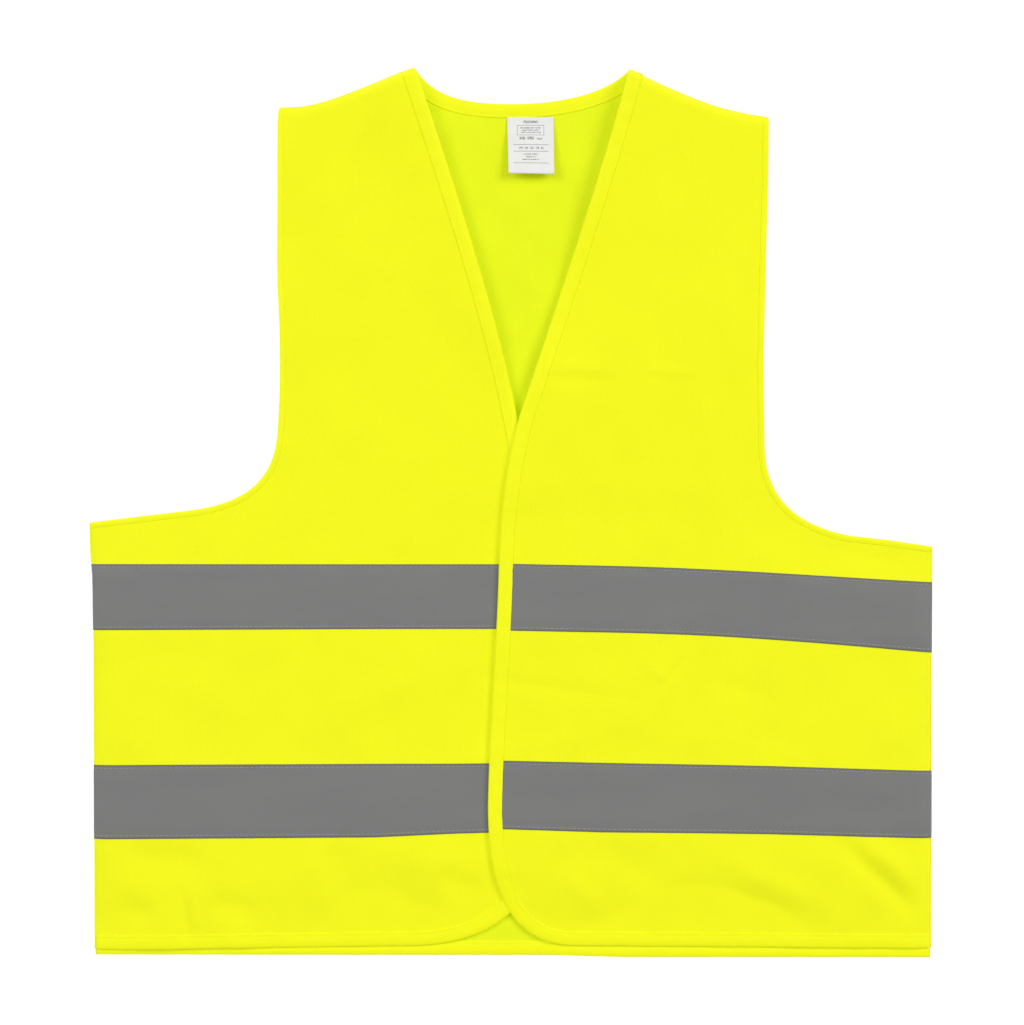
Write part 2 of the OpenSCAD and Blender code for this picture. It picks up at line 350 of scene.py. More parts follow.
def cloth_mesh(name, parts, top, front=None):
    """A panel of cloth inside the outline made by parts, its upper face at the height that top gives.
    Loops close to the edge let it turn down sharply there, and close rows let a front roll over."""
    outline = stepped(np.concatenate([joined(*parts), parts[0][:1]]), OUTLINE_STEP, front)[:-1]
    inward = leftward(np.concatenate([outline[-1:], outline, outline[:1]]))[1:-1]
    low, high = outline.min(0), outline.max(0)
    rows = np.arange(low[1], high[1], GRID * 0.866)
    grid = np.array(
        [(x, y) for i, y in enumerate(rows) for x in np.arange(low[0] + GRID / 2 * (i % 2), high[0], GRID)]
    )
    if front:
        start, down, across = fold_frame(front)
        along = np.arange(*FOLD_RUN, GRID)
        strip = [
            start + across * past + down * (run + GRID / 2 * (i % 2))
            for i, past in enumerate(fold_rows())
            for run in along
        ]
        grid = np.concatenate([grid[~rolls(grid, front)], strip])
    edge = np.concatenate([outline, outline[:1]])
    grid = grid[within(grid, outline) & (away(grid, evenly(edge, 0.006)) > EDGE_GAP)]
    loops = []
    for inset in EDGE_LOOPS:
        ring = outline + inward * inset
        loops.append(ring[within(ring, outline) & (away(ring, edge) > 0.75 * inset)])
    flat = np.concatenate([outline, *loops, grid])
    count = len(outline)
    border = [(i, (i + 1) % count) for i in range(count)]
    cut = geometry.delaunay_2d_cdt([Vector(p) for p in flat], border, [], 1, 1e-7)
    flat = np.array([tuple(v) for v in cut[0]])
    solid = np.column_stack([flat, top(flat)])
    return shaped(name, solid, cut[2], flat)


def shaped(name, points, faces, flat):
    """A smooth piece from its points and faces, with its flat cut as its UV map."""
    mesh = bpy.data.meshes.new(name)
    mesh.from_pydata([tuple(p) for p in points], [], [tuple(f) for f in faces])
    uv = mesh.uv_layers.new(name="cut").data
    corners = np.empty(len(mesh.loops), int)
    mesh.loops.foreach_get("vertex_index", corners)
    uv.foreach_set("uv", np.asarray(flat, float)[corners].ravel())
    mesh.shade_smooth()
    piece = bpy.data.objects.new(name, mesh)
    bpy.context.scene.collection.objects.link(piece)
    return piece


def thicken(piece, thickness, other_side=0):
    """Gives a single surface its real thickness, downwards. The new side takes the material other_side on."""
    bpy.ops.object.select_all(action="DESELECT")
    piece.select_set(True)
    bpy.context.view_layer.objects.active = piece
    wall = piece.modifiers.new("thickness", "SOLIDIFY")
    wall.thickness = thickness
    wall.offset = -1.0
    wall.material_offset = other_side
    bpy.ops.object.modifier_apply(modifier=wall.name)
    piece.select_set(False)
    return piece


def knit(name, base, glow_colour, shine=0.25, wales=0.0013):
    """Fluorescent warp knit: fine upright ribs crossed by courses, and a faint mottle."""
    finish = Finish(name, Roughness=0.82, Base_Color=base)
    finish.feed("Sheen Weight", shine / 5)
    finish.feed("Sheen Roughness", 0.6)
    finish.glows(glow_colour)
    finish.feed("Specular IOR Level", shine)
    across, along = finish.along_and_across()
    rib = (across * (2 * math.pi / wales)).sine()
    course = (along * (2 * math.pi / (wales * 0.8))).sine()
    mottle = finish.cloud(0.03, 3.0)
    fuzz = finish.cloud(0.0022, 2.0)
    tone = mottle * 0.55 + fuzz * 0.25 + rib * course * 0.03 + 0.1
    deep = tuple(c * 0.90 for c in base[:3]) + (1,)
    light = tuple(min(1.0, c * 1.06) for c in base[:3]) + (1,)
    finish.feed("Base Color", finish.shades(tone, deep, light))
    finish.relief(rib * 0.18 + course * 0.12 + fuzz * 0.6, 0.0002, 0.35)
    return finish.material


HI_VIS = (0.82, 0.78, 0.003, 1)
# Painted glow of the fluorescent knit and binding: a fixed light standing in for the dye's fluorescence,
# which also keeps their shade light and green.
HI_VIS_GLOW = (0.12, 0.185, 0.0, 1)
yellow_knit = knit("fluorescent_knit", HI_VIS, HI_VIS_GLOW)
# Painted shade: a darker, greener copy of the knit with less glow, for faces that lie in shade, which are the
# back's upper face under the fronts and the fronts' undersides.
knit_painted_shade = knit("fluorescent_knit_painted_shade", (0.80, 0.87, 0.012, 1), (0.05, 0.085, 0.0, 1), shine=0.1)

back_parts = (
    back_neck, right_shoulder, right_armhole, right_side[1:-1],
    back_hem, left_side[1:-1], left_armhole, left_shoulder,
)
back_cloth = cloth_mesh("back_cloth", back_parts, back_top)
# The upper face, in shade under the fronts, takes the painted-shade copy of the knit; the outside underneath
# takes the plain knit.
back_cloth.data.materials.append(knit_painted_shade)
back_cloth.data.materials.append(yellow_knit)
thicken(back_cloth, CLOTH, other_side=1)


def stays(piece, slot, *nodes, body="vest_body"):
    """The piece moves with one body and stands for the nodes."""
    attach(piece, body)
    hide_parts(*nodes)


stays(back_cloth, "hi_vis_cloth", "back_panel")


# ---- Front panels ----
# Two mirror-cut fronts of the same knit. They are sewn to the back at the sides and
# shoulders, where the cloth rolls down to the seam, and lie loose at every other edge.

right_edge = joined(
    line((-306.5, -321)),
    curve((-70, -318), (-15, -316), (26, -290), (26, -215)),
    curve((25, -90), (22, -20), (12, 24), (4, 66)),
    curve((4, 66), (-12, 150), (-50, 262), neck_right),
)
left_edge = joined(
    curve(neck_left, (70, 262), (48, 195), (6.5, 72)),
    curve((6.5, 72), (-3, 38), (-8, 0), (-9, -40)),
    curve((-9, -40), (-10.5, -98), (-16, -160), (-17, -215)),
    curve((-17, -215), (-17, -280), (0, -317), (45, -318)),
    line((308, -320)),
)
right_upper_line = line((-315, -62.2, 48.5), (-100, -61.8, 47.5), (30, -61.8, 47.5))
right_lower_line = line((-315, -212.9, 54.5), (-100, -211.6, 54), (-45, -210.4, 51.5), (30, -209, 50))
left_upper_line = joined(
    line((-30, -61.6, 49)), curve((50, -63.2, 49), (150, -64.6, 48.5), (215, -70.6, 48.5), (315, -77.6, 52))
)
left_lower_line = line((-30, -206.6, 50), (65, -209.2, 51), (190, -211.2, 50), (315, -214.8, 49.5))

SEAM_LEVEL = 0.0029
RIGHT_LEVEL = 0.0070
LEFT_LEVEL = 0.0101
LOWEST = 0.0043
SIDE_ROLL = 0.016
SHOULDER_ROLL = 0.006


def roll(distance, reach):
    """0 at a seam, rising steeply and levelling out to 1."""
    t = np.clip(distance / reach, 0, 1)
    return (1 - (1 - t) ** 2) ** 0.6


# Each front's fold line, from the shoulder beside the neck to the hem, and the strip between two distances
# past that line where the front would roll over if folded back; the meshes get close rows there. The last
# number is the side of the line that the opening is on.
FOLD_FROM = 0.010
FOLD_TO = 0.032
FOLD_STEP = 0.0005
FOLD_MARGIN = 0.001
FOLD_RUN = (-0.03, 0.68)
folds = {
    "right_front": (np.array([-0.084, 0.322]), np.array([-0.152, -0.320]), 1),
    "left_front": (np.array([0.098, 0.319]), np.array([0.157, -0.320]), -1),
}


def fold_frame(front):
    """Where a fold starts, its direction down the vest and its direction towards the opening."""
    top, low, side = folds[front]
    down = (low - top) / np.linalg.norm(low - top)
    return top, down, side * np.array([-down[1], down[0]])


def rolls(points, front):
    """Whether each point is in the strip that rolls over when the front folds back."""
    top, _, across = fold_frame(front)
    past = (points[:, :2] - top) @ across
    return (past > FOLD_FROM - FOLD_MARGIN) & (past < FOLD_TO + FOLD_MARGIN)


def fold_rows():
    """Distances past the fold line at which a piece that rolls has a row of points."""
    return np.arange(FOLD_FROM - FOLD_MARGIN, FOLD_TO + FOLD_MARGIN, FOLD_STEP)


def creases(points, table):
    """Soft ridges, or valleys where the height is negative. Each runs from (x, y) to (x, y) and fades at its
    ends; its width and height follow. All in millimetres."""
    rise = np.zeros(len(points))
    for x1, y1, x2, y2, width, height in table:
        a, b = np.array([x1, y1]) / 1000, np.array([x2, y2]) / 1000
        span = b - a
        t = ((points - a) @ span) / (span @ span)
        side = ((points - a) @ np.array([-span[1], span[0]])) / np.linalg.norm(span)
        rise += height / 1000 * ease(1.25 - np.abs(t - 0.5) * 2) * np.exp(-((side / width * 1000) ** 2))
    return rise


# Folds left in the cloth by storage, which run alike through both fronts where they lap.
LAP_FOLDS = (
    (-30, -121, 95, -138, 5, -0.8),
    (0, -172, 60, -166, 7, 0.6),
)


def front_relief(points, bands, edge, layer):
    """Swells, a step down above the bands, and puckers beside the bands and the edge."""
    x, y = points.T
    rise = 0.0013 * swell(points, 0.085, layer) + 0.00050 * swell(points, 0.036, layer + 5, 80, 2.4)
    rise *= loose(points, *bands) * (1 + 0.6 * ease((-0.235 - y) / 0.03))
    rise -= 0.0014 * ease((0.024 - y) / 0.034) * ease((x + 0.12) / 0.10) * ease((0.21 - x) / 0.08)
    for band in bands:
        gap = away(points, band[:, :2]) - BAND / 2
        puckers = swell(points, 0.009, layer + 11, 90, 3.0)
        rise += 0.00022 * puckers * np.exp(-((gap / 0.009) ** 2)) * (gap > -0.004)
    rim = away(points, edge)
    rise += 0.00015 * swell(points, 0.011, layer + 17) * np.exp(-(((rim - 0.010) / 0.008) ** 2))
    return rise + creases(points, LAP_FOLDS)


RIGHT_FOLDS = (
    (-300, -250, -215, -262, 12, -1.6),
    (-290, -288, -262, -298, 9, -1.3),
    (-243, -272, -240, -312, 4, -0.8),
    (-236, -274, -232, -310, 4, 0.6),
    (-222, -284, -186, -298, 9, -1.5),
    (-150, -245, -136, -300, 12, 1.3),
    (-52, -262, -28, -284, 9, -1.1),
    (-290, -112, -180, -150, 14, 0.7),
    (-140, -150, -40, -110, 13, 0.6),
    (-260, 20, -150, 60, 16, 0.8),
    (-150, 120, -70, 60, 18, -0.8),
    (-160, 260, -110, 170, 20, 0.8),
)


def right_top(points):
    """Height of the right front's upper face."""
    x, y = points.T
    seam = roll(away(points, right_side), SIDE_ROLL) * roll(away(points, right_shoulder), SHOULDER_ROLL)
    hem = ease((-0.250 - y) / 0.065)
    sag = 0.0018 * (1 - ease(away(points, right_armhole) / 0.045)) + 0.0024 * hem
    lift = 0.0026 * ease((y - 0.085) / 0.06) * (1 - ease(away(points, right_edge) / 0.055))
    lift += 0.0018 * (1 - ease(away(points, right_shoulder) / 0.065))
    rise = front_relief(points, (right_upper_line, right_lower_line), right_edge, 3.7)
    rise += hem * 0.0009 * swell(points, 0.045, 31.0, 90, 2.5) + 1.4 * creases(points, RIGHT_FOLDS)
    level = RIGHT_LEVEL - sag + lift + rise * ease(away(points, right_side) / 0.03)
    return SEAM_LEVEL + (np.maximum(level, LOWEST) - SEAM_LEVEL) * seam


LEFT_FOLDS = (
    (236, -238, 308, -304, 7, -2.2),
    (252, -234, 318, -292, 8, 1.8),
    (140, -282, 214, -304, 11, -1.7),
    (156, -258, 236, -292, 10, 1.4),
    (60, -246, 112, -274, 12, -1.2),
    (36, -262, 66, -296, 10, 1.2),
    (22, 99, 76, 98, 5, -0.7),
    (22, 106, 80, 104, 6, 0.6),
    (105, 160, 106, 102, 4, -0.5),
    (98, 106, 134, 101, 4, 0.6),
    (149, 138, 148, 80, 4, -0.5),
    (156, 190, 160, 120, 6, 0.5),
    (150, 318, 114, 238, 13, -1.2),
    (118, 300, 96, 236, 10, 0.5),
    (92, -106, 118, -127, 4, 0.5),
    (104, -134, 130, -104, 4, -0.5),
    (142, -122, 200, -139, 8, -0.7),
    (268, -98, 296, -150, 12, -0.9),
    (40, -156, 120, -148, 14, 0.6),
)


def left_top(points):
    """Height of the left front's upper face, which clears the right front where it laps over it."""
    x, y = points.T
    seam = roll(away(points, left_side), SIDE_ROLL) * roll(away(points, left_shoulder), SHOULDER_ROLL)
    hem = ease((-0.250 - y) / 0.065)
    past_lap = ease((x - 0.06) / 0.12) * (1 - ease((y - 0.02) / 0.12))
    sag = 0.0022 * (1 - ease(away(points, left_armhole) / 0.05))
    sag += 0.0025 * past_lap * (1 - hem) + hem * (0.0030 + 0.0025 * ease((x - 0.03) / 0.09))
    lift = 0.0055 * ease((y - 0.15) / 0.14) * (1 - ease(away(points, left_edge) / 0.055))
    sag += 0.0020 * ease((y - 0.088) / 0.05) * (1 - ease(away(points, left_edge) / 0.055))
    lift += 0.0020 * (1 - ease(away(points, left_shoulder) / 0.065))
    rise = front_relief(points, (left_upper_line, left_lower_line), left_edge, 3.7)
    rise += hem * 0.0009 * swell(points, 0.05, 41.0, 90, 2.5) + 1.3 * creases(points, LEFT_FOLDS)
    level = LEFT_LEVEL - sag + lift + rise * ease(away(points, left_side) / 0.03)
    return SEAM_LEVEL + (np.maximum(level, LOWEST) - SEAM_LEVEL) * seam


def folds_back(piece, front, slot, *nodes):
    """The piece's placing is baked into its mesh, and it stands for the nodes."""
    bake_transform(piece)
    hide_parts(*nodes)


def front_panel(front, parts, top):
    """One front, yellow outside, with the darker, greener painted-shade copy of the knit on its underside."""
    cloth = cloth_mesh(f"{front}_cloth", parts, top, front)
    cloth.data.materials.append(yellow_knit)
    cloth.data.materials.append(knit_painted_shade)
    thicken(cloth, CLOTH, other_side=1)
    folds_back(cloth, front, "hi_vis_cloth", f"{front}_side", f"{front}_flap")
    return cloth


right_parts = (right_shoulder, right_armhole, right_side, right_edge)
left_parts = (left_edge, left_side, left_armhole, left_shoulder)
right_cloth = front_panel("right_front", right_parts, right_top)
left_cloth = front_panel("left_front", left_parts, left_top)


# ---- Reflective bands ----
# Silver-grey tape of glass beads on a woven backing, 50 mm wide, run round the waist
# twice and sewn to each panel along both of its edges before the binding goes on.

TAPE = 0.00035
BINDING = 0.0095


def across_at(path, y):
    """The x of a nearly upright path at each y."""
    order = np.argsort(path[:, 1])
    return np.interp(y, path[order, 1], path[order, 0])


def on_cloth(top, flat, lift, under=False):
    """Points at a distance above (or under) a panel's upper face, and the unit normals there."""
    e = 0.0004
    dx = (top(flat + [e, 0]) - top(flat - [e, 0])) / (2 * e)
    dy = (top(flat + [0, e]) - top(flat - [0, e])) / (2 * e)
    steep = np.clip(np.stack([dx, dy], 1), -2.5, 2.5)
    normal = np.column_stack([-steep, np.ones(len(flat))])
    normal /= np.linalg.norm(normal, axis=1)[:, None]
    place = np.column_stack([flat, top(flat)]) + normal * np.asarray(lift).reshape(-1, 1)
    return place, (-normal if under else normal)


def spread(count):
    """Places from 0 to 1, even in the middle and crowded at both ends, where the cloth rolls to a seam."""
    even = np.linspace(0, 1, count)
    ends = np.array([0.0008, 0.002, 0.0045, 0.008, 0.013, 0.02])
    return np.unique(np.round(np.concatenate([even, ends, 1 - ends]), 6))


def band_rows(middle, first, last, offsets, step, front=None):
    """Flat points of a band, row by row, from where it starts to where it stops, closer where it rolls."""
    rows = []
    for v in offsets:
        x = np.array([-0.3, 0.3])
        for _ in range(3):
            y = np.interp(x, middle[:, 0], middle[:, 1] + v * middle[:, 2] / BAND)
            x = np.array([first(y[0]), last(y[-1])])
        x = x[0] + (x[1] - x[0]) * spread(step)
        if front:
            start, down, across = fold_frame(front)
            at = start[0] + (middle[:, 1].mean() + v - start[1]) * down[0] / down[1]
            x = np.sort(np.concatenate([x, at + fold_rows() / across[0]]))
        rows.append(np.column_stack([x, np.interp(x, middle[:, 0], middle[:, 1] + v * middle[:, 2] / BAND)]))
    return rows


def woven_grid(rows, columns):
    """Faces of a grid of points, wound so that they face up when rows run to the left of columns."""
    return [
        (i * columns + j, i * columns + j + 1, (i + 1) * columns + j + 1, (i + 1) * columns + j)
        for i in range(rows - 1)
        for j in range(columns - 1)
    ]


beads = Finish("glass_bead_tape", Roughness=0.5, Metallic=0.0)
beads.feed("Specular IOR Level", 0.35)
bead_along, bead_across = beads.along_and_across()
grain = beads.cloud(0.0016, 3.0)
patchy = beads.cloud(0.05, 2.0, (0.6, 2.0, 1.0))
from_edge = BAND / 2 - bead_across.absolute()
rim = (from_edge / 0.0016).least(1.0)
BEAD_WEAVE = 2 * math.pi / 0.0016
weave = ((bead_along + bead_across) * BEAD_WEAVE).sine() * ((bead_along - bead_across) * BEAD_WEAVE).sine()
grey_tone = grain * 0.35 + patchy * 0.45 + weave * 0.05 + 0.1
grey_bead = beads.shades(grey_tone, (0.152, 0.155, 0.153, 1), (0.226, 0.226, 0.221, 1))
beads.feed("Base Color", beads.shades(rim, (0.12, 0.121, 0.12, 1), grey_bead))
beads.relief(grain * 0.6 + weave * 0.25, 0.0002, 0.3)

# Across a band: distance from its middle, and height above the cloth, with a groove along each stitch row.
BAND_SECTION = (
    (0, 0.47), (10, 0.48), (17, 0.50), (21.5, 0.46), (22.8, 0.34), (23.6, 0.44), (24.6, 0.42), (25, 0.30),
)
half_section = np.array(BAND_SECTION) / 1000
BAND_OFFSETS = np.concatenate([-half_section[:0:-1, 0], half_section[:, 0]])
BAND_LIFT = np.concatenate([half_section[:0:-1, 1], half_section[:, 1]])

# Where a band is caught in a side seam it turns down (or up, on the back) round the edge:
# distance out past the cloth's edge, and drop, in metres.
TURN_DOWN = ((0.00010, 0.00005), (0.00055, 0.00035), (0.00080, 0.00090), (0.00085, 0.00150))


def band_piece(name, top, middle, first, last, seams, under=False, front=None):
    """One length of band laid on a panel and following its swells, turned round the side seams it meets."""
    columns = int((last(middle[0][1]) - first(middle[0][1])) / 0.0028)
    lift = -BAND_LIFT - CLOTH if under else BAND_LIFT
    drop = -0.75 if under else 1.0
    grid, cut = [], []
    rows = band_rows(middle, first, last, BAND_OFFSETS, columns, front)
    for flat, v, rise in zip(rows, BAND_OFFSETS, lift):
        place, _ = on_cloth(top, flat, rise)
        run = flat[:, 0]
        for seam in seams:
            tip = place[0 if seam < 0 else -1]
            turn = np.array([(tip[0] + seam * out, tip[1], tip[2] - drop * down) for out, down in TURN_DOWN])
            far = tip[0] + seam * np.array([0.0001, 0.0007, 0.0013, 0.0019])
            if seam < 0:
                place, run = np.concatenate([turn[::-1], place]), np.concatenate([far[::-1], run])
            else:
                place, run = np.concatenate([place, turn]), np.concatenate([run, far])
        grid.append(place)
        cut.append(np.column_stack([run, np.full(len(run), v)]))
    faces = woven_grid(len(grid), len(grid[0]))
    if under:
        faces = [f[::-1] for f in faces]
    piece = thicken(shaped(name, np.concatenate(grid), faces, np.concatenate(cut)), TAPE)
    piece.data.materials.append(beads.material)
    return piece


def right_start(y):
    return across_at(right_side, y) + 0.0002


def right_stop(y):
    return across_at(right_edge[right_edge[:, 1] > -0.25], y) - BINDING + 0.0012


def left_start(y):
    return across_at(left_edge[left_edge[:, 1] > -0.25], y) + BINDING - 0.0012


def left_stop(y):
    return across_at(left_side, y) - 0.0002


for level, middle in (("upper", back_upper_line), ("lower", back_lower_line)):
    piece = band_piece(f"back_{level}_tape", back_top, middle, right_start, left_stop, (-1, 1), under=True)
    stays(piece, "reflective_band", f"back_{level}_band")
for level, right_line, left_line in (
    ("upper", right_upper_line, left_upper_line),
    ("lower", right_lower_line, left_lower_line),
):
    for side, top, middle, first, last, seam in (
        ("right", right_top, right_line, right_start, right_stop, -1),
        ("left", left_top, left_line, left_start, left_stop, 1),
    ):
        front, band = f"{side}_front", f"{side}_{level}"
        piece = band_piece(f"{band}_tape", top, middle, first, last, (seam,), front=front)
        folds_back(piece, front, "reflective_band", f"{band}_band", f"{band}_band_end")


# ---- Stitch rows on the bands ----
# Lockstitch in a pale grey polyester thread, two rows to a band, each stitch sunk a
# little into the tape. The same rows show on the inside of the cloth.

BAND_PITCH = 0.0037
BAND_INSET = 0.0022


def thread_finish(name, colour, glow_colour=None):
    finish = Finish(name, Roughness=0.55)
    finish.feed("Specular IOR Level", 0.4)
    if glow_colour:
        finish.glows(glow_colour)
    along, around = finish.along_and_across()
    ply = ((along * 9 + around * 4) * (2 * math.pi)).sine() * 0.5 + 0.5
    dark = tuple(c * 0.8 for c in colour[:3]) + (1,)
    finish.feed("Base Color", finish.shades(ply, dark, colour))
    return finish.material


# Rings of a stitch: place along it, width and rise, as shares of the pitch and of the thread.
STITCH_RINGS = (
    (-0.5, 0.25, -0.30), (-0.38, 0.85, 0.02), (0.0, 1.0, 0.13), (0.38, 0.85, 0.02), (0.5, 0.25, -0.30),
)
STITCH_SIDES = 6


def stitches(name, rows, pitch, thickness, finish):
    """Separate stitches along rows of (points, normals), each a bead of thread with its ends sunk."""
    points, faces, cut = [], [], []
    around = np.arange(STITCH_SIDES) * 2 * math.pi / STITCH_SIDES
    rings = len(STITCH_RINGS)
    for place, normal in rows:
        run = np.concatenate([[0], np.cumsum(np.linalg.norm(np.diff(place, axis=0), axis=1))])
        for middle in np.arange(pitch * 0.6, run[-1] - pitch * 0.4, pitch):
            here = np.array([np.interp(middle, run, place[:, i]) for i in range(3)])
            before = np.array([np.interp(middle - pitch / 3, run, place[:, i]) for i in range(3)])
            after = np.array([np.interp(middle + pitch / 3, run, place[:, i]) for i in range(3)])
            up = np.array([np.interp(middle, run, normal[:, i]) for i in range(3)])
            ahead = (after - before) / np.linalg.norm(after - before)
            up = up - ahead * (up @ ahead)
            up /= np.linalg.norm(up)
            side = np.cross(ahead, up)
            base = len(points)
            for along, wide, lift in STITCH_RINGS:
                centre = here + ahead * (along * pitch * 0.8) + up * (lift * thickness * 1.6)
                for a in around:
                    points.append(centre + thickness / 2 * wide * (side * math.cos(a) + up * math.sin(a)))
                    cut.append((along, a / 6.3))
            for r in range(rings - 1):
                for k in range(STITCH_SIDES):
                    n = (k + 1) % STITCH_SIDES
                    a, b = base + r * STITCH_SIDES, base + (r + 1) * STITCH_SIDES
                    faces.append((a + k, b + k, b + n, a + n))
            faces.append(tuple(base + k for k in range(STITCH_SIDES)))
            faces.append(tuple(base + (rings - 1) * STITCH_SIDES + k for k in reversed(range(STITCH_SIDES))))
    piece = shaped(name, points, faces, cut)
    piece.data.materials.append(finish)
    return piece


grey_thread = thread_finish("grey_thread", (0.40, 0.40, 0.38, 1))


def band_stitch_rows(top, middle, first, last, outer_lift, inner_lift):
    rows = []
    for v in (BAND / 2 - BAND_INSET, BAND_INSET - BAND / 2):
        for lift in (outer_lift, inner_lift):
            flat = band_rows(middle, first, last, [v], 200)[0]
            rows.append(on_cloth(top, flat, lift, under=lift < 0))
    return rows


ON_TAPE = 0.00046
UNDER_CLOTH = -0.00052
back_rows = []
for middle in (back_upper_line, back_lower_line):
    back_rows += band_stitch_rows(back_top, middle, right_start, left_stop, -CLOTH - 0.00030, 0.00004)
stays(
    stitches("back_band_stitches", back_rows, BAND_PITCH, 0.00045, grey_thread),
    "grey_thread", "back_band_threads",
)
for side, top, upper, lower, first, last in (
    ("right", right_top, right_upper_line, right_lower_line, right_start, right_stop),
    ("left", left_top, left_upper_line, left_lower_line, left_start, left_stop),
):
    rows = band_stitch_rows(top, upper, first, last, ON_TAPE, UNDER_CLOTH)
    rows += band_stitch_rows(top, lower, first, last, ON_TAPE, UNDER_CLOTH)
    folds_back(
        stitches(f"{side}_band_stitches", rows, BAND_PITCH, 0.00050, grey_thread),
        f"{side}_front", "grey_thread", f"{side}_band_threads", f"{side}_band_end_threads",
    )


# ---- Seams at the sides and shoulders ----
# The two edges are sewn together inside and overlocked; outside, the cloth just turns
# from the front to the back. The allowance lies inside, towards the back.

WRAP = (
    (0.35, 0.02), (0.05, 0.06), (-0.2, -0.02), (-0.42, -0.28), (-0.52, -0.65), (-0.42, -1.08),
    (0.0, -1.42), (0.9, -1.55), (2.2, -1.56),
)


def swept(name, path, profile, top, thickness, flutter=0.0, stop=None):
    """A strip with a fixed cross-section along a panel's edge. Each profile point is a distance in from
    the edge and a height above the panel's upper face, both in millimetres. It ends under the line stop."""
    inward = leftward(path)
    columns = len(profile)
    run = np.concatenate([[0], np.cumsum(np.linalg.norm(np.diff(path, axis=0), axis=1))])
    profile = np.array(profile) / 1000
    wrap_run = np.concatenate([[0], np.cumsum(np.linalg.norm(np.diff(profile, axis=0), axis=1))])
    flat = path[:, None, :] + inward[:, None, :] * np.maximum(profile[None, :, :1], 0)
    level = top(flat.reshape(-1, 2)).reshape(len(path), columns)
    spot = path[:, None, :] + inward[:, None, :] * profile[None, :, :1]
    place = np.concatenate([spot, level[..., None]], 2)
    lift = np.repeat(profile[None, :, 1], len(path), 0)
    if flutter:
        length = np.column_stack([run, run * 0])
        wave = swell(length, 0.0075, 5.5) + 0.6 * swell(length, 0.021, 9.5)
        crown = np.sin(np.linspace(0, 2 * math.pi, columns)) * (profile[:, 0] > 0)
        lift = lift + flutter * wave[:, None] * crown[None, :]
    place[..., 2] += lift
    if stop is not None:
        stop = stop[np.argsort(stop[:, 0])]
        place[..., 1] = np.minimum(place[..., 1], np.interp(place[..., 0], stop[:, 0], stop[:, 1]) - 0.0003)
    cut = np.stack([np.repeat(run[:, None], columns, 1), np.repeat(wrap_run[None, :], len(path), 0)], 2)
    faces = [f[::-1] for f in woven_grid(len(path), columns)]
    piece = shaped(name, place.reshape(-1, 3), faces, cut.reshape(-1, 2))
    return thicken(piece, thickness)


def merged(name, pieces):
    """Several meshes as one piece."""
    bpy.ops.object.select_all(action="DESELECT")
    for piece in pieces:
        piece.select_set(True)
    bpy.context.view_layer.objects.active = pieces[0]
    bpy.ops.object.join()
    pieces[0].name = name
    pieces[0].select_set(False)
    return pieces[0]


# The yellow thread has a painted glow like the knit's.
yellow_thread = thread_finish("yellow_thread", (0.78, 0.60, 0.008, 1), (0.11, 0.30, 0.0, 1))
ALLOWANCE = ((0.6, 0.30), (1.5, 0.78), (4.0, 0.95), (7.0, 0.92), (7.9, 0.80), (8.0, 0.40))
OVERLOCK = (0.0080, 0.0042)

for side, name, path, top in (
    ("right", "side", right_side, right_top),
    ("left", "side", left_side, left_top),
    ("right", "shoulder", right_shoulder, right_top),
    ("left", "shoulder", left_shoulder, left_top),
):
    path = evenly(path, 0.003)
    turned = swept("turned_cloth", path, WRAP, top, 0.00022)
    pad = swept("allowance", path[1:-1], ALLOWANCE, back_top, 0.0006)
    piece = merged(f"{side}_{name}_seam_cloth", [turned, pad])
    piece.data.materials.append(yellow_knit)
    stays(piece, "hi_vis_cloth", f"{side}_{name}_seam")
    inward = leftward(path)[2:-2]
    zig = np.where(np.arange(len(inward)) % 2, *OVERLOCK)
    loops = on_cloth(back_top, path[2:-2] + inward * zig[:, None], 0.00098)
    overlock = stitches(f"{side}_{name}_overlock", [loops], 0.0024, 0.00035, yellow_thread)
    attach(overlock, "vest_body")


# ---- Binding ----
# A strip of smooth yellow tape folded over the raw edge of the neck, the fronts and the
# hem, and sewn through with one row close to its inner edge. It puffs up between the
# stitches and the fold.

BOUND = (
    (9.5, 0.05), (9.45, 0.28), (9.1, 0.38), (8.5, 0.37), (7.9, 0.31), (7.2, 0.42), (6.0, 0.58), (4.5, 0.68),
    (3.0, 0.68), (1.6, 0.62), (0.5, 0.42), (-0.15, 0.12), (-0.38, -0.22), (-0.30, -0.60), (0.1, -0.92),
    (1.2, -1.08), (3.0, -1.12), (5.0, -1.08), (7.0, -0.98), (7.9, -0.86), (8.8, -0.96), (9.4, -0.92),
    (9.5, -0.62),
)
BOUND_ROW = 0.0079
BOUND_STEP = 0.0026
binding_tape = Finish("binding_tape", Roughness=0.6)
binding_tape.feed("Specular IOR Level", 0.22)
# The binding takes the knit's painted glow.
binding_tape.glows(HI_VIS_GLOW)
_, tape_across = binding_tape.along_and_across()
tape_rib = (tape_across * (2 * math.pi / 0.0009)).sine()
tape_pull = binding_tape.cloud(0.006, 2.0, (0.5, 1.6, 1.0))
tape_tone = tape_pull * 0.7 + tape_rib * 0.06 + 0.12
tape_colour = binding_tape.shades(tape_tone, (0.77, 0.74, 0.002, 1), (0.87, 0.83, 0.004, 1))
binding_tape.feed("Base Color", tape_colour)
binding_tape.relief(tape_rib * 0.12 + tape_pull * 0.8, 0.0003, 0.35)


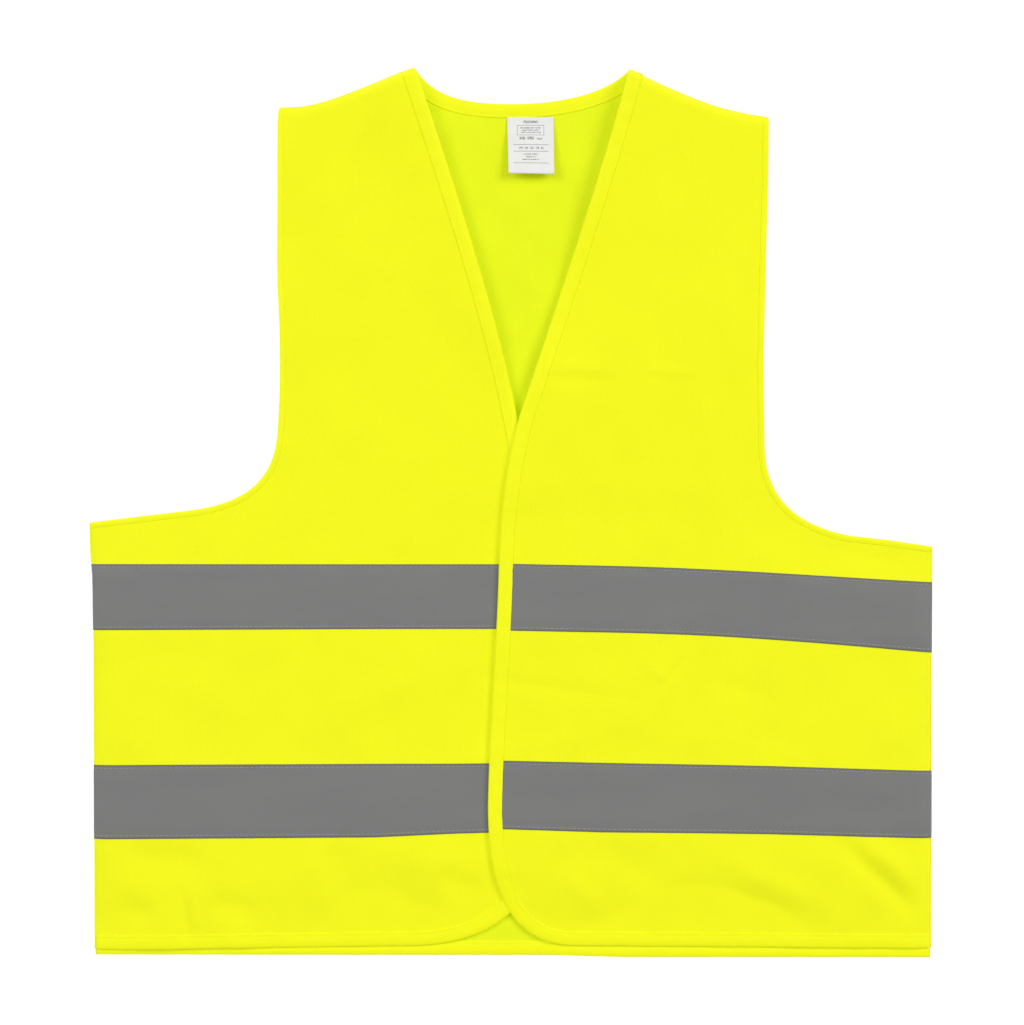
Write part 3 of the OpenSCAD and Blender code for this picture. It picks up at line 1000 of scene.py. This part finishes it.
def bind(name, path, top, width=BINDING, stop=None, front=None):
    """Binding, or a narrower strip of the same section, folded over a panel's edge."""
    scale = width / BINDING
    profile = [(d * scale if d > 0 else d, h * (0.4 + 0.6 * scale) if h > 0 else h) for d, h in BOUND]
    piece = swept(name, stepped(path, BOUND_STEP, front), profile, top, 0.0003, 0.00013 * scale, stop)
    piece.data.materials.append(binding_tape.material)
    return piece


def bind_stitches(name, path, top, width=BINDING):
    """The stitch row along a binding, seen on both faces. It stops just short of the ends."""
    path = evenly(path, 0.0015)[2:-2]
    flat = path + leftward(path) * BOUND_ROW * width / BINDING
    rows = [on_cloth(top, flat, 0.00036), on_cloth(top, flat, -0.00090, under=True)]
    return stitches(name, rows, 0.0031, 0.00036, yellow_thread)


for place, path in (("neck", back_neck), ("hem", back_hem)):
    stays(bind(f"back_{place}_tape", path, back_top), "binding", f"back_{place}_binding")
    stays(bind_stitches(f"back_{place}_stitches", path, back_top), "yellow_thread", f"back_{place}_thread")
for side, edge, top, shoulder in (
    ("right", right_edge, right_top, right_shoulder),
    ("left", left_edge, left_top, left_shoulder),
):
    front = f"{side}_front"
    edge_tape = bind(f"{side}_edge_tape", edge, top, stop=shoulder, front=front)
    folds_back(edge_tape, front, "binding", f"{side}_hem_binding", f"{side}_front_binding")
    edge_stitches = bind_stitches(f"{side}_edge_stitches", edge, top)
    folds_back(edge_stitches, front, "yellow_thread", f"{side}_hem_thread", f"{side}_front_thread")


# ---- Armhole finish ----
# A narrow strip of the same tape turned over the armhole edge of the back and of each
# front, with one stitch row.

ARM_STRIP = 0.0035
for side, armhole, front_top in (("right", right_armhole, right_top), ("left", left_armhole, left_top)):
    for layer, top in (("front", front_top), ("back", back_top)):
        strip = bind(f"{side}_armhole_{layer}_strip", armhole, top, ARM_STRIP)
        stays(strip, "binding", f"{side}_armhole_{layer}_binding")
        row = bind_stitches(f"{side}_armhole_{layer}_stitches", armhole, top, ARM_STRIP)
        stays(row, "yellow_thread", f"{side}_armhole_{layer}_thread")


# ---- Hook and loop patches ----
# Two pairs of soft yellow fastening tape, sewn on between the bands where the fronts
# lap: stiff hooks on the right front's outside, brushed loops on the left's inside.

PATCH_WIDE = 0.014
PATCH_LONG = 0.030
HOOK_LIFT = 0.00045
LOOP_LIFT = -0.00095
FRAME_INSET = 0.0013
patch_places = {"upper": (0.007, -0.111), "lower": (0.0055, -0.163)}
woven_base = Finish("woven_base", Roughness=0.7)
# Painted glow, like the knit's.
woven_base.glows((0.10, 0.22, 0.0, 1))
base_along, base_across = woven_base.along_and_across()
base_weave = (base_along * (2 * math.pi / 0.0011)).sine() * (base_across * (2 * math.pi / 0.0011)).sine()
woven_base.feed(
    "Base Color", woven_base.shades(base_weave * 0.5 + 0.5, (0.68, 0.60, 0.010, 1), (0.82, 0.72, 0.012, 1))
)
woven_base.relief(base_weave, 0.00015, 0.5)
plastic_hook = Finish("plastic_hook", Roughness=0.35)
brushed_loop = Finish("brushed_loop", Roughness=0.8)
# The hooks and loops have a painted glow too.
for filament in (plastic_hook, brushed_loop):
    filament.glows((0.12, 0.17, 0.0, 1))
    fading = filament.cloud(0.0015, 2.0)
    filament.feed("Base Color", filament.shades(fading, (0.74, 0.68, 0.03, 1), (0.94, 0.88, 0.06, 1)))


def patch_base(name, centre, top, lift):
    """The woven ground of a patch."""
    rows, columns = 15, 9
    x = np.linspace(-PATCH_WIDE / 2, PATCH_WIDE / 2, columns)
    y = np.linspace(PATCH_LONG / 2, -PATCH_LONG / 2, rows)
    flat = np.array([(centre[0] + p, centre[1] + q) for q in y for p in x])
    place, _ = on_cloth(top, flat, lift)
    faces = woven_grid(rows, columns)
    if lift > 0:
        faces = [f[::-1] for f in faces]
    piece = thicken(shaped(name, place, faces, flat), 0.0004)
    piece.data.materials.append(woven_base.material)
    return piece


def bristles(name, centre, top, lift, spacing, shape, width, finish, scatter=0.0):
    """Copies of one bent filament over a patch. shape gives its points as (along, height) in millimetres."""
    chance = np.random.default_rng(7)
    points, faces, cut = [], [], []
    half = width / 2
    xs = np.arange(-PATCH_WIDE / 2 + 0.001, PATCH_WIDE / 2 - 0.0008, spacing)
    ys = np.arange(-PATCH_LONG / 2 + 0.001, PATCH_LONG / 2 - 0.0008, spacing)
    flat = np.array([(centre[0] + x, centre[1] + y) for x in xs for y in ys])
    flat += scatter * (chance.random(flat.shape) - 0.5)
    roots, normal = on_cloth(top, flat, lift, under=lift < 0)
    turns = chance.random(len(flat)) * 6.28 if scatter else (np.arange(len(flat)) % 2) * math.pi
    for root, up, turn in zip(roots, normal, turns):
        ahead = np.array([math.cos(turn), math.sin(turn), 0.0])
        side = np.cross(ahead, up)
        base = len(points)
        for along, rise in shape:
            spot = root + ahead * along / 1000 + up * rise / 1000
            for a, b in ((-1, -1), (1, -1), (0, 1)):
                points.append(spot + side * half * a + (ahead * 0.5 + up * 0.5) * half * b)
                cut.append(spot[:2] + rise / 1000)
        for r in range(len(shape) - 1):
            for k in range(3):
                n = (k + 1) % 3
                a, b = base + r * 3, base + (r + 1) * 3
                faces.append((a + k, b + k, b + n, a + n))
        faces.append((base, base + 1, base + 2))
        last = base + (len(shape) - 1) * 3
        faces.append((last + 2, last + 1, last))
    piece = shaped(name, points, faces, cut)
    piece.data.materials.append(finish.material)
    return piece


HOOK = ((0.0, -0.05), (0.02, 0.35), (0.12, 0.60), (0.32, 0.66), (0.46, 0.52), (0.46, 0.38))
LOOP = ((0.0, -0.05), (-0.15, 0.30), (-0.05, 0.55), (0.20, 0.62), (0.42, 0.42), (0.45, 0.05), (0.40, -0.05))


def frame_rows(centre, top, lift):
    """The four stitch rows round a patch."""
    x, y = PATCH_WIDE / 2 - FRAME_INSET, PATCH_LONG / 2 - FRAME_INSET
    corners = np.array([(-x, -y), (x, -y), (x, y), (-x, y), (-x, -y)]) + np.array(centre)
    return [on_cloth(top, evenly(corners[i : i + 2], 0.001), lift, under=lift < 0) for i in range(4)]


hook_rows, loop_rows = [], []
for level, centre in patch_places.items():
    base = patch_base(f"hook_base_{level}", centre, right_top, HOOK_LIFT)
    stays(base, "hook_tape", f"hook_patch_{level}", body="right_front")
    hooks = bristles(f"hooks_{level}", centre, right_top, HOOK_LIFT, 0.00105, HOOK, 0.00020, plastic_hook)
    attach(hooks, "right_front")
    base = patch_base(f"loop_base_{level}", centre, left_top, LOOP_LIFT)
    stays(base, "loop_tape", f"loop_patch_{level}", body="left_front")
    pile = bristles(
        f"loops_{level}", centre, left_top, LOOP_LIFT, 0.00085, LOOP, 0.00012, brushed_loop, scatter=0.0006
    )
    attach(pile, "left_front")
    hook_rows += frame_rows(centre, right_top, 0.00048)
    loop_rows += frame_rows(centre, left_top, -0.00098)
hook_frame = stitches("hook_patch_frame", hook_rows, 0.0026, 0.00035, yellow_thread)
stays(hook_frame, "yellow_thread", "hook_patch_stitches", body="right_front")
loop_frame = stitches("loop_patch_frame", loop_rows, 0.0026, 0.00035, yellow_thread)
stays(loop_frame, "yellow_thread", "loop_patch_stitches", body="left_front")


# ---- Care label ----
# A strip of white satin caught in the neck binding by its top edge. It is printed in
# pale grey with plain lines, and its free end lifts off the cloth.

LABEL_WIDE = 0.0345
LABEL_LONG = 0.0425
LABEL_MIDDLE = 0.0135
LABEL_TOP = 0.2912
LABEL_TILT = 0.018
LABEL_LEVEL = 0.0026
SATIN = 0.00018

across_label = np.linspace(-0.5, 0.5, 25)
down_label = np.concatenate([np.linspace(0, 0.25, 21)[:-1], np.linspace(0.25, 1, 26)])
label_points, label_flat = [], []
for v in down_label:
    for u in across_label:
        x = LABEL_MIDDLE + u * LABEL_WIDE * (1 - 0.03 * v) + LABEL_TILT * LABEL_LONG * v
        y = LABEL_TOP - LABEL_LONG * v - LABEL_TILT * u * LABEL_WIDE * v
        curl = 0.0062 * v**1.3 + 0.0008 * (2 * u) ** 4 * v + 0.0006 * math.sin(u * 7 + 1) * v
        label_points.append((x, y, LABEL_LEVEL + curl))
        label_flat.append((u * LABEL_WIDE, v * LABEL_LONG))
label_faces = [f[::-1] for f in woven_grid(len(down_label), len(across_label))]
label = shaped("care_label_satin", label_points, label_faces, label_flat)
thicken(label, SATIN)

satin = Finish("printed_satin", Roughness=0.42)
satin.feed("Specular IOR Level", 0.45)
print_across, print_down = satin.along_and_across()


def printed(left, right, top, bottom):
    """1 inside a printed rectangle, whose sides are millimetres from the label's middle and top."""
    wide = (print_across > left / 1000) * (print_across < right / 1000)
    return wide * (print_down > top / 1000) * (print_down < bottom / 1000)


# Rows of small print, as (left, right, top, height), drawn only as broken grey lines.
SMALL_PRINT = (
    (-5.5, 5.5, 2.6, 1.9), (-7.5, 7.5, 7.6, 0.9), (-6.5, 6.5, 9.3, 0.9), (-7.5, 7.5, 11.0, 0.9),
    (-8.5, -4.0, 14.6, 2.2), (-2.5, 2.5, 14.6, 2.2), (4.5, 9.0, 15.6, 1.2), (-9.0, -6.0, 22.4, 1.3),
    (-4.5, -2.0, 22.2, 1.7), (-0.5, 2.0, 22.2, 1.7), (3.5, 6.0, 22.2, 1.7), (7.5, 9.5, 22.2, 1.7),
    (-5.5, 5.0, 27.4, 0.8), (-3.5, 4.0, 29.4, 0.8), (-6.5, 6.5, 31.4, 0.8),
)
RULES = (
    (-10.0, 10.0, 6.0, 0.35), (-10.0, 10.0, 13.2, 0.35), (-13.0, 13.0, 20.4, 0.4), (-13.0, 13.0, 25.4, 0.4),
    (-13.0, 13.0, 34.2, 0.4),
)
SIDES = ((-10.0, -9.65, 6.0, 7.5), (9.65, 10.0, 6.0, 7.5))
speckle = satin.cloud(0.0007, 1.0)
letters = (speckle > 0.47) * 0.9
ink = letters * 0
for left, right, top, height in SMALL_PRINT:
    ink = ink + printed(left, right, top, top + height) * letters
for left, right, top, height in RULES + SIDES:
    ink = ink + printed(left, right, top, top + height) * 0.8
sheen = satin.cloud(0.012, 2.0)
paper_white = satin.shades(sheen, (0.76, 0.76, 0.74, 1), (0.87, 0.87, 0.85, 1))
satin.feed("Base Color", satin.shades(ink.least(1.0), paper_white, (0.16, 0.165, 0.17, 1)))
satin_weave = (print_down * (2 * math.pi / 0.0006)).sine()
satin.relief(satin_weave * 0.4 + speckle * 0.4, 0.00008, 0.4)
label.data.materials.append(satin.material)
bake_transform(label)
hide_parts("care_label")

label_run = line((-3.2, 292.6), (30.2, 292.2))
label_rows = [on_cloth(back_top, evenly(label_run, 0.001), 0.00052)]
label_row = stitches("label_row", label_rows, 0.0026, 0.00034, yellow_thread)
stays(label_row, "grey_thread", "label_stitches")
